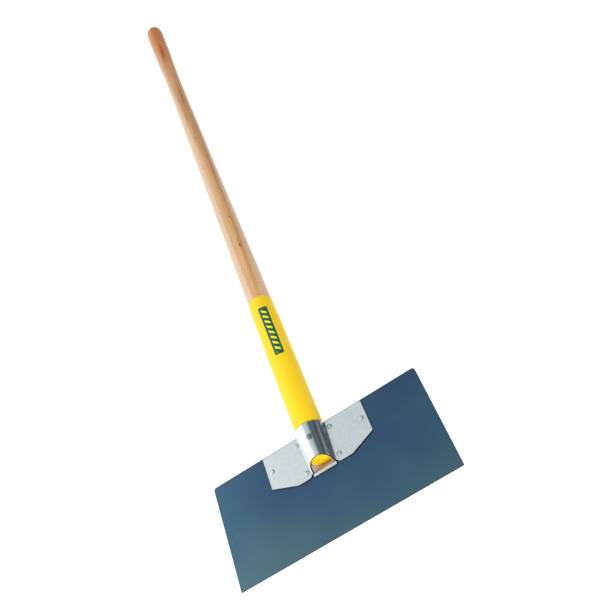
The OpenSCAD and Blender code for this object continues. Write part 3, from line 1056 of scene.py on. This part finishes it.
@dataclass
class SocketPlate:
    """A pressed plate: two flat wings and the half socket between them."""

    side: Side
    handle: Handle
    half_blade: float = 0.75
    sheet_t: float = 1.5
    plate_top: float = 141.5
    plate_h: float = 59.0
    half_w: float = 73.0
    wing_side_h: float = 45.0
    wing_foot_w: float = 20.0
    wing_corner_r: float = 4.5
    foot_slot: float = 2.4
    socket_gap: float = 0.05
    fold_r: float = 2.5
    mouth_reveal: float = 3.0
    mouth_foot_lift: float = 3.5
    heel_gap: float = 0.8
    heel_bend_lift: float = 3.0
    lip_len: float = 4.0
    lip_overhang: float = 0.2
    lip_bend_r: float = 1.7
    heel_blend: float = 2.2
    edge_break: float = 0.2
    rows: int = 44
    fold_steps: int = 8
    arc_steps: int = 30

    def __post_init__(self) -> None:
        """Works out the places that follow from the sizes."""
        h = self.handle
        tilt = math.radians(h.lean)
        self.foot = self.plate_top - self.plate_h
        self.front_face = self.half_blade + self.sheet_t
        self.slope = (h.shank_d - h.insert_d) / 2 / h.insert_len
        self.mouth_foot_y = self.foot + self.mouth_foot_lift
        self.bend_y = self.foot + self.heel_bend_lift
        end_y = h.blade_h - h.insert_len * math.cos(tilt) + h.insert_d / 2 * math.sin(tilt)
        end_z = h.axis_lift - h.insert_len * math.sin(tilt) - h.insert_d / 2 * math.cos(tilt)
        self.heel_tan = (self.front_face - end_z) / (end_y - self.heel_gap - self.bend_y)
        self.heel_run = self.sheet_t / math.sin(math.atan(self.heel_tan))
        self.lip_half = (self.bore(self.bend_y) + self.sheet_t + self.lip_overhang)
        self.gap_half = self.lip_half + self.foot_slot
        self.foot_x = self.gap_half + self.wing_foot_w
        crest = h.insert_len + self.mouth_reveal
        crest_z = (h.axis_lift - crest * math.sin(tilt) + self.sheet_t
                   + self.bore(h.blade_h - crest))
        self.rake = (h.blade_h - crest - self.mouth_foot_y) / (crest_z - self.half_blade)
        self.wing_z = self.side.value * (self.half_blade + self.sheet_t / 2)

    def bore(self, y: float) -> float:
        """Radius of the socket's inner wall at a height up the blade."""
        return self.handle.shank_d / 2 + self.socket_gap + self.slope * (y - self.handle.blade_h)

    def axis_z(self, y: float) -> float:
        """Height of the handle's axis at a height up the blade."""
        return self.handle.axis_lift + (y - self.handle.blade_h) * math.tan(
            math.radians(self.handle.lean))

    def heel_z(self, y: float) -> float:
        """Height of the heel's middle surface at a height up the blade."""
        return self.front_face - (y - self.bend_y + self.heel_run / 2) * self.heel_tan

    def fold(self, y: float) -> tuple[float, float]:
        """Where the fold starts on the wing, and its angle on the socket.

        Args:
            y: Height up the blade.

        Returns:
            The fold's X on the wing, and the angle round the axis where it ends.
        """
        middle_r = self.bore(y) + self.sheet_t / 2
        rise = self.wing_z + self.side.value * self.fold_r - self.axis_z(y)
        x = math.sqrt((middle_r + self.fold_r) ** 2 - rise ** 2)
        return x, math.atan2(rise, x)

    def wing_foot(self, x: float) -> float:
        """Lowest place of the wing at a distance from the middle."""
        if x > self.foot_x:
            share = (x - self.foot_x) / (self.half_w - self.foot_x)
            return self.foot + share * (self.plate_h - self.wing_side_h)
        inset = self.gap_half + self.wing_corner_r - x
        if inset <= 0:
            return self.foot
        if inset >= self.wing_corner_r:
            return self.mouth_foot_y
        drop = self.wing_corner_r - math.sqrt(self.wing_corner_r ** 2 - inset ** 2)
        return self.foot + min(drop, self.mouth_foot_lift)

    def columns(self) -> list[Callable[[float], tuple[float, float]]]:
        """The right half's columns, from the wing's outer side to the crest.

        Returns:
            One function for each column, from a height y to its X and Z.
        """
        base, _ = self.fold(self.foot)
        near = [0.0, 0.4, 0.9, 1.5, 2.2, 3.0, 4.0, 5.2, 6.6, 8.4, 11.0, 14.5, 18.0]
        shares = [n / (self.half_w - base) for n in near]
        knee = (self.foot_x - base) / (self.half_w - base)
        shares += list(np.linspace(knee, 1.0, 12))
        made: list[Callable[[float], tuple[float, float]]] = []
        for share in reversed(sorted(shares)):
            def on_wing(y: float, s: float = share) -> tuple[float, float]:
                """A place on the flat wing."""
                x, _ = self.fold(y)
                return x + s * (self.half_w - x), self.wing_z
            made.append(on_wing)
        facing = self.side.value
        for step in range(1, self.fold_steps + 1):
            def on_fold(y: float, s: float = step / self.fold_steps) -> tuple[float, float]:
                """A place on the fold between wing and socket."""
                x, end = self.fold(y)
                start = -facing * math.pi / 2
                stop = end + math.pi if facing < 0 else end - math.pi
                a = start + s * (stop - start)
                return (x + self.fold_r * math.cos(a),
                        self.wing_z + facing * self.fold_r + self.fold_r * math.sin(a))
            made.append(on_fold)
        for step in range(1, self.arc_steps + 1):
            def on_arc(y: float, s: float = step / self.arc_steps) -> tuple[float, float]:
                """A place on the half socket."""
                _, end = self.fold(y)
                a = end + s * (facing * math.pi / 2 - end)
                r = self.bore(y) + self.sheet_t / 2
                return r * math.cos(a), self.axis_z(y) + r * math.sin(a)
            made.append(on_arc)
        return made

    def lowest(self, column: Callable[[float], tuple[float, float]], on_wing: bool) -> float:
        """Lowest place of a column.

        Args:
            column: The column's function.
            on_wing: True where the column lies on the flat wing.

        Returns:
            Its height up the blade.
        """
        if not on_wing and self.side is Side.REAR:
            return self.split_y()
        y = self.mouth_foot_y
        for _ in range(30):
            x, z = column(y)
            y = self.wing_foot(x) if on_wing else (
                self.mouth_foot_y + (z - self.half_blade) * self.rake)
        return y

    def split_y(self) -> float:
        """Where the heel's middle surface passes the rear wings' middle surface."""
        return self.bend_y - self.heel_run / 2 + (self.front_face - self.wing_z) / self.heel_tan

    def place(self, column: Callable[[float], tuple[float, float]], y: float,
              on_wing: bool) -> tuple[float, float, float]:
        """A point of the middle surface on the right half."""
        x, z = column(y)
        if self.side is Side.REAR and not on_wing:
            heel = self.heel_z(y)
            z = smooth_max(z, heel, min(self.heel_blend, 0.8 * (self.wing_z - heel)))
        return x, y, z

    def lip_path(self) -> list[tuple[float, float]]:
        """Middle line of the stem and lip below the split, as Y and Z."""
        lip_z = self.half_blade + self.sheet_t / 2
        bend_y = self.bend_y - self.heel_run / 2 + (self.front_face - lip_z) / self.heel_tan
        angle = math.atan(self.heel_tan)
        tangent = self.lip_bend_r * math.tan(angle / 2)
        start_y, start_z = self.split_y(), self.wing_z
        path = []
        reach = math.hypot(start_y - bend_y, start_z - lip_z) - tangent
        for s in np.linspace(0, 1, 7)[1:]:
            d = s * reach
            path.append((start_y - d * math.cos(angle), start_z + d * math.sin(angle)))
        centre = (bend_y - tangent, lip_z - self.lip_bend_r)
        for s in np.linspace(0, 1, 8)[1:]:
            a = angle * (1 - s)
            path.append((centre[0] + self.lip_bend_r * math.sin(a),
                         centre[1] + self.lip_bend_r * math.cos(a)))
        foot = self.bend_y - self.lip_len
        for s in np.linspace(0, 1, 5)[1:]:
            path.append((centre[0] + s * (foot - centre[0]), lip_z))
        return path

    def build(self, name: str, finish: bpy.types.Material,
              cut: bpy.types.Material) -> bpy.types.Object:
        """Makes the pressed plate.

        Args:
            name: The piece's name.
            finish: The sheet's material.
            cut: The material of its sheared edges and their bevels, near-black also as painted
                contact shadow.

        Returns:
            The finished piece.
        """
        columns = self.columns()
        flat = len(columns) - self.fold_steps - self.arc_steps
        shell = SheetShell()
        total = 2 * len(columns) - 1
        order = [(i, 1.0) for i in range(len(columns))]
        order += [(i, -1.0) for i in range(len(columns) - 2, -1, -1)]
        floor = [self.lowest(c, i < flat) for i, c in enumerate(columns)]
        for r in range(self.rows + 1):
            share = (r / self.rows) ** 1.15
            for i, mirror in order:
                y = floor[i] + (self.plate_top - floor[i]) * share
                x, y, z = self.place(columns[i], y, i < flat)
                shell.points.append((mirror * x, y, z))
        # Both plates are wound so that their middle surface faces the front
        for r in range(self.rows):
            for c in range(total - 1):
                a = r * total + c
                shell.faces.append((a, a + total, a + total + 1, a + 1))
        if self.side is Side.REAR:
            self.add_lip(shell, columns, order)
        plate = shell.build(name, self.sheet_t, [finish, cut])
        # The bevels take the dark cut material too: painted contact shadow along the plate's edges
        break_edges(plate, self.edge_break, finish=1)
        return apply_modifiers(plate)

    def add_lip(self, shell: SheetShell, columns: list[Callable[[float], tuple[float, float]]],
                order: list[tuple[int, float]]) -> None:
        """Adds the stem and lip below the split to the rear plate's sheet.

        Args:
            shell: The sheet so far.
            columns: The right half's columns.
            order: The columns of a whole row, with the side each is on.
        """
        split = self.split_y()
        across = [mirror * columns[i](split)[0] for i, mirror in order]
        inside = [c for c, x in enumerate(across) if abs(x) <= self.lip_half + 0.15]
        inside = [c for c in inside
                  if order[c][0] >= len(columns) - self.fold_steps - self.arc_steps]
        widest = max(abs(across[c]) for c in inside)
        above = inside
        for row, (y, z) in enumerate(self.lip_path()):
            grow = 1 + (self.lip_half / widest - 1) * min(1.0, (row + 1) / 3)
            start = len(shell.points)
            shell.points += [(across[c] * grow, y, z) for c in inside]
            below = list(range(start, start + len(inside)))
            for k in range(len(inside) - 1):
                shell.faces.append((below[k], above[k], above[k + 1], below[k + 1]))
            above = below


# ---------------------------------------------------------------------- blade


@dataclass
class Blade:
    """The rectangular spring-steel blade, with the notch that clears the socket."""

    plate: SocketPlate
    width: float = 300.0
    height: float = 143.0
    thickness: float = 1.5
    corner_r: float = 4.0
    nick: float = 0.6
    notch_gap: float = 0.3
    edge_break: float = 0.22

    def outline(self) -> list[tuple[float, float]]:
        """The blade's outline, anticlockwise seen from the front."""
        half, r = self.width / 2, self.corner_r
        notch_foot = (self.plate.bend_y - self.plate.heel_run
                      + self.plate.sheet_t / self.plate.heel_tan - self.notch_gap)
        notch_half = self.plate.lip_half + self.notch_gap
        top_half = self.plate.bore(self.height)
        right = [(half - self.nick, 0.0), (half, self.nick)]
        for step in range(9):
            a = math.radians(90 * step / 8)
            right.append((half - r + r * math.cos(a), self.height - r + r * math.sin(a)))
        right += [(top_half, self.height), (notch_half, notch_foot)]
        return right + [(-x, y) for x, y in reversed(right)]

    def build(self, face: bpy.types.Material, rim: bpy.types.Material) -> bpy.types.Object:
        """Makes the blade.

        Args:
            face: Material of the two broad faces.
            rim: Material of the sheared rim.

        Returns:
            The finished piece.
        """
        line = self.outline()
        n, half_t = len(line), self.thickness / 2
        points = [(x, y, half_t) for x, y in line] + [(x, y, -half_t) for x, y in line]
        faces = [tuple(range(n)), tuple(range(2 * n - 1, n - 1, -1))]
        faces += [(i, i + n, (i + 1) % n + n, (i + 1) % n) for i in range(n)]
        blade = new_object("blade_sheet", points, faces, [face, rim])
        for polygon in blade.data.polygons:
            polygon.material_index = int(polygon.index > 1)
        break_edges(blade, self.edge_break)
        return apply_modifiers(blade)


# ------------------------------------------------------------------ fastenings


@dataclass
class Rivets:
    """Six rivets through the stack of three sheets."""

    nodes: tuple[str, ...] = tuple(
        f"rivet_{side}_{row}" for side in ("left", "right") for row in ("upper", "outer", "lower"))
    stack_half: float = 2.25
    shank_d: float = 4.5
    head_d: float = 7.0
    head_h: float = 1.4
    tail_h: float = 1.0
    rim_h: float = 0.35
    sides: int = 40
    seed: int = 4

    def profile(self) -> list[tuple[float, float]]:
        """Radius and height of each ring, from the front dome to the rear one."""
        r, top = self.head_d / 2, self.stack_half
        front = [(x, top + self.rim_h + z) for x, z in cap(r, self.head_h - self.rim_h, 9)]
        front += [(r, top + HEAD_BREAK), (r - HEAD_BREAK, top), (self.shank_d / 2, top)]
        rear = [(self.shank_d / 2, -top), (r - HEAD_BREAK, -top), (r, -top - HEAD_BREAK)]
        rear += [(x, -top - self.rim_h - z)
                 for x, z in reversed(cap(r, self.tail_h - self.rim_h, 9))]
        return front + rear

    def rivet_tree(self) -> bpy.types.NodeTree:
        """Geometry Nodes that set one rivet on every point of a mesh."""
        tree, given = start_tree("rivet_set", {
            "Rivet": "NodeSocketObject", "Turn": "NodeSocketFloat", "Seed": "NodeSocketInt"})
        shape = add(tree, "GeometryNodeObjectInfo", {"Object": given.outputs["Rivet"]})
        low = add(tree, "ShaderNodeCombineXYZ", {"X": 0.0, "Y": 0.0, "Z": 0.0})
        high = add(tree, "ShaderNodeCombineXYZ", {"Z": given.outputs["Turn"]})
        turn = add(tree, "FunctionNodeRandomValue", {
            0: low.outputs[0], 1: high.outputs[0], "Seed": given.outputs["Seed"]},
            data_type="FLOAT_VECTOR")
        placed = add(tree, "GeometryNodeInstanceOnPoints", {
            "Points": given.outputs["Mesh"], "Instance": shape.outputs["Geometry"],
            "Rotation": turn.outputs[0]})
        return end_tree(tree, given, placed.outputs[0])

    def build(self, finish: bpy.types.Material) -> bpy.types.Object:
        """Makes the six rivets as one piece.

        Args:
            finish: The rivets' material.

        Returns:
            The finished piece.
        """
        one = turned_solid("rivet_pattern", self.stack_half + self.head_h, self.profile(),
                           -self.stack_half - self.tail_h, self.sides)
        places = bpy.data.meshes.new("rivets")
        spots = []
        for node in self.nodes:
            low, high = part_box(node)
            spots.append(((low.x + high.x) / 2, (low.y + high.y) / 2, 0.0))
        places.from_pydata(spots, [], [])
        rivets = bpy.data.objects.new("rivets", places)
        bpy.context.scene.collection.objects.link(rivets)
        set_inputs(rivets, self.rivet_tree(), {
            "Rivet": one, "Turn": 2 * math.pi, "Seed": self.seed, "Finish": finish})
        apply_modifiers(rivets)
        bpy.data.objects.remove(one)
        return rivets


@dataclass
class SocketScrew:
    """The slotted round-head screw through the socket into the handle."""

    plate: SocketPlate
    drop: float = 20.5
    turn: float = 6.0
    shank_d: float = 3.6
    length: float = 22.0
    head_d: float = 7.4
    head_h: float = 2.2
    slot_w: float = 0.9
    slot_h: float = 0.9
    point_h: float = 0.2
    rim_h: float = 0.5
    sides: int = 64

    def profile(self) -> list[tuple[float, float]]:
        """Radius and height of each ring, from the top of the head to the point."""
        r = self.head_d / 2
        rings = [(x, self.rim_h + z) for x, z in cap(r, self.head_h - self.rim_h, 12)]
        rings += [(r, HEAD_BREAK), (r - HEAD_BREAK, 0.0), (self.shank_d / 2, 0.0),
                  (self.shank_d / 2, self.shank_d - self.length),
                  (self.shank_d / 8, -self.length)]
        return rings

    def placing(self) -> Matrix:
        """The matrix that puts the screw on the socket's front crest."""
        h = self.plate.handle
        seat = self.plate.bore(h.blade_h - self.drop) + self.plate.sheet_t
        return (Matrix.Translation((0, h.blade_h * MM, h.axis_lift * MM))
                @ Matrix.Rotation(math.radians(h.lean), 4, "X")
                @ Matrix.Rotation(math.radians(self.turn), 4, "Y")
                @ Matrix.Translation((0, -self.drop * MM, seat * MM))
                @ Matrix.Rotation(math.atan(self.plate.slope), 4, "X"))

    def build(self, finish: bpy.types.Material) -> bpy.types.Object:
        """Makes the screw.

        Args:
            finish: The screw's material.

        Returns:
            The finished piece.
        """
        screw = turned_solid("handle_screw_slotted", self.head_h, self.profile(),
                             -self.length - self.point_h, self.sides, [finish])
        long, wide, deep = self.head_d, self.slot_w / 2, self.head_h - self.slot_h
        box = [(x, y, z) for x in (-long, long) for y in (-wide, wide)
               for z in (deep, deep + self.head_h)]
        cutter = new_object("slot_cutter", box, [
            (0, 1, 3, 2), (4, 6, 7, 5), (0, 4, 5, 1), (2, 3, 7, 6), (0, 2, 6, 4), (1, 5, 7, 3)])
        cut = screw.modifiers.new("slot", "BOOLEAN")
        cut.object, cut.operation, cut.solver = cutter, "DIFFERENCE", "EXACT"
        apply_modifiers(screw)
        bpy.data.objects.remove(cutter)
        screw.data.transform(self.placing())
        return screw


# --------------------------------------------------------------------- studio


@dataclass(frozen=True)
class FillLamp:
    """One square soft lamp: its place and side in metres, and its power in watts."""

    name: str
    place: tuple[float, float, float]
    size: float
    power: float

    def build(self, aim: Sequence[float]) -> None:
        """Hangs the lamp so that it faces a place, and leaves no glare on metal.

        Args:
            aim: The place, in metres.
        """
        data = bpy.data.lights.new(self.name, "AREA")
        data.energy, data.size = self.power, self.size
        lamp = bpy.data.objects.new(self.name, data)
        bpy.context.scene.collection.objects.link(lamp)
        lamp.location = self.place
        lamp.visible_glossy = False
        towards = Vector(aim) - Vector(self.place)
        lamp.rotation_mode = "QUATERNION"
        lamp.rotation_quaternion = towards.to_track_quat("-Z", "Y")


@dataclass
class Studio:
    """Camera, floor, lights and surroundings."""

    aim: tuple[float, float, float] = (0.05283, 0.33575, 0.0)
    distance: float = 1.12919
    azimuth: float = 16.114
    elevation: float = 46.567
    roll: float = -44.917
    lens: float = 48.928
    sensor: float = 36.0
    floor_gap: float = 0.0005
    floor_size: float = 30.0
    sky: float = 1.1
    window: float = 1.5
    wall: str = "#F4F6F7"
    # Tone of the room from left to right, as metal mirrors it
    room: tuple[tuple[float, str], ...] = (
        (0.0, "#DDE3E6"), (0.08, "#FFFFFF"), (0.29, "#FFFFFF"), (0.34, "#E0E6E5"),
        (0.40, "#D2DAD9"), (0.60, "#C0C9C7"), (0.635, "#3A454C"), (0.70, "#55626B"),
        (0.78, "#3C464E"), (0.83, "#8F9A9F"), (0.86, "#2B3337"), (0.93, "#2D363B"),
        (0.97, "#B8BEC2"), (1.0, "#E8ECEE"))
    lamps: tuple[FillLamp, ...] = (
        FillLamp("right_lamp", (1.1, -0.9, 1.5), 1.0, 6.0),
        FillLamp("low_lamp", (0.3, -1.9, 1.5), 1.2, 74.0))

    def build_camera(self) -> None:
        """Makes the camera: an angle of view, a distance and a turn about its own axis."""
        a, e = math.radians(self.azimuth), math.radians(self.elevation)
        back = Vector((math.sin(a) * math.cos(e), -math.cos(a) * math.cos(e), math.sin(e)))
        data = bpy.data.cameras.new("camera")
        data.sensor_width, data.lens = self.sensor, self.lens
        camera = bpy.data.objects.new("camera", data)
        bpy.context.scene.collection.objects.link(camera)
        level = back.to_track_quat("Z", "Y").to_matrix().to_4x4()
        camera.matrix_world = (Matrix.Translation(Vector(self.aim) + back * self.distance)
                               @ level @ Matrix.Rotation(math.radians(self.roll), 4, "Z"))
        bpy.context.scene.camera = camera

    def build_floor(self, finish: bpy.types.Material) -> None:
        """Lays the floor just below the object's lowest place."""
        low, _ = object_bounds()
        z, s = (low.z - self.floor_gap) / MM, self.floor_size / 2 / MM
        floor = new_object("floor", [(-s, -s, z), (s, -s, z), (s, s, z), (-s, s, z)],
                           [(0, 1, 2, 3)], [finish])
        floor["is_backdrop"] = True

    def build_sky(self) -> None:
        """Surroundings that are bright on the left and dim on the right, as beside a window."""
        world = bpy.data.worlds.new("studio")
        bpy.context.scene.world = world
        world.use_nodes = True
        tree = world.node_tree
        sight = add(tree, "ShaderNodeTexCoord").outputs["Generated"]
        split = add(tree, "ShaderNodeSeparateXYZ", {0: sight})
        across = add(tree, "ShaderNodeMapRange", {
            "Value": split.outputs["X"], "From Min": -1.0, "From Max": 1.0})
        ramp = add(tree, "ShaderNodeValToRGB", {"Fac": across.outputs["Result"]},
                   stops=self.room)
        # The window itself, low on the left
        glare = add(tree, "ShaderNodeMapRange", {
            "Value": split.outputs["X"], "From Min": -0.38, "From Max": -0.50,
            "To Min": self.sky, "To Max": self.window})
        back = tree.nodes["Background"]
        tree.links.new(ramp.outputs["Color"], back.inputs["Color"])
        tree.links.new(glare.outputs["Result"], back.inputs["Strength"])
        # Seen directly, the room is a plain pale wall
        wall = add(tree, "ShaderNodeBackground", {"Color": linear(self.wall)})
        ray = add(tree, "ShaderNodeLightPath")
        seen = add(tree, "ShaderNodeMixShader", {
            0: ray.outputs["Is Camera Ray"], 1: back.outputs[0], 2: wall.outputs[0]})
        tree.links.new(seen.outputs[0], tree.nodes["World Output"].inputs["Surface"])

    def build(self) -> None:
        """Builds the whole studio."""
        bpy.context.scene.view_settings.view_transform = "Standard"
        self.build_camera()
        self.build_floor(PaleFloor().build())
        self.build_sky()
        for lamp in self.lamps:
            lamp.build(self.aim)


# Pin knots and stained streaks of this handle
KNOTS = (Knot(328, 30, 1.9), Knot(340, 27, 1.2, 6.0, 0.5), Knot(394, 34, 1.4),
         Knot(435, 43, 1.1), Knot(526, -6, 1.0), Knot(608, 15, 1.0),
         Knot(896, 22, 5.0, 7.0, 0.9, "#B05A1E"), Knot(740, 35, 3.0, 9.0, 0.5, "#B06A35"),
         Knot(1009, 0, 11.0, 1.0, 0.55, "#94562A"))


def main() -> None:
    """Builds and dresses every piece in order."""
    logging.basicConfig(level=logging.INFO, format="%(name)s: %(message)s")
    Studio().build()
    handle = Handle()
    front = SocketPlate(Side.FRONT, handle)
    rear = SocketPlate(Side.REAR, handle)
    rim = ShearedEdge("sheared_steel_rim", "#1E2428", "#385070", 0.3, 0.6).build()
    sheet = GalvanisedSheet().build()
    # Near-black cut edge of the plates: bare steel, darkened further as painted contact shadow
    # along their edges
    cut = ShearedEdge("galvanised_sheet_cut", "#14181A", "#D6DCDE", 0.2, 0.5).build()
    # The rear plate's sheet, with the painted reflection on its heel
    painted_heel_reflection = GalvanisedSheet("galvanised_sheet_scuffed", heel=(17.0, 83.2, 101.0)).build()

    hand_over(Blade(rear).build(BluedSpringSteel().build(), rim), Slot.SPRING_STEEL, "blade")
    hand_over(front.build("front_socket_plate", sheet, cut), Slot.GALVANISED, "front_plate")
    hand_over(rear.build("rear_socket_plate", painted_heel_reflection, cut), Slot.GALVANISED, "rear_plate")
    beech = TurnedBeech(knots=KNOTS).build(handle)
    hand_over(handle.build_wood(beech), Slot.WOOD, "handle")
    hand_over(handle.build_lacquer(DippedLacquer().build()), Slot.LACQUER, "lacquer")
    hand_over(handle.build_label(PrintedLabel().build(handle.label_uv)), Slot.LABEL, "label")
    rivets = Rivets()
    hand_over(rivets.build(ZincPlatedSteel("rivet_steel").build()), Slot.RIVET, *rivets.nodes)
    screw_finish = ZincPlatedSteel("zinc_plated_screw", "#969E9F", "#3F484A")
    hand_over(SocketScrew(front).build(screw_finish.build()), Slot.SCREW, "handle_screw")


if __name__ == "__main__":
    main()
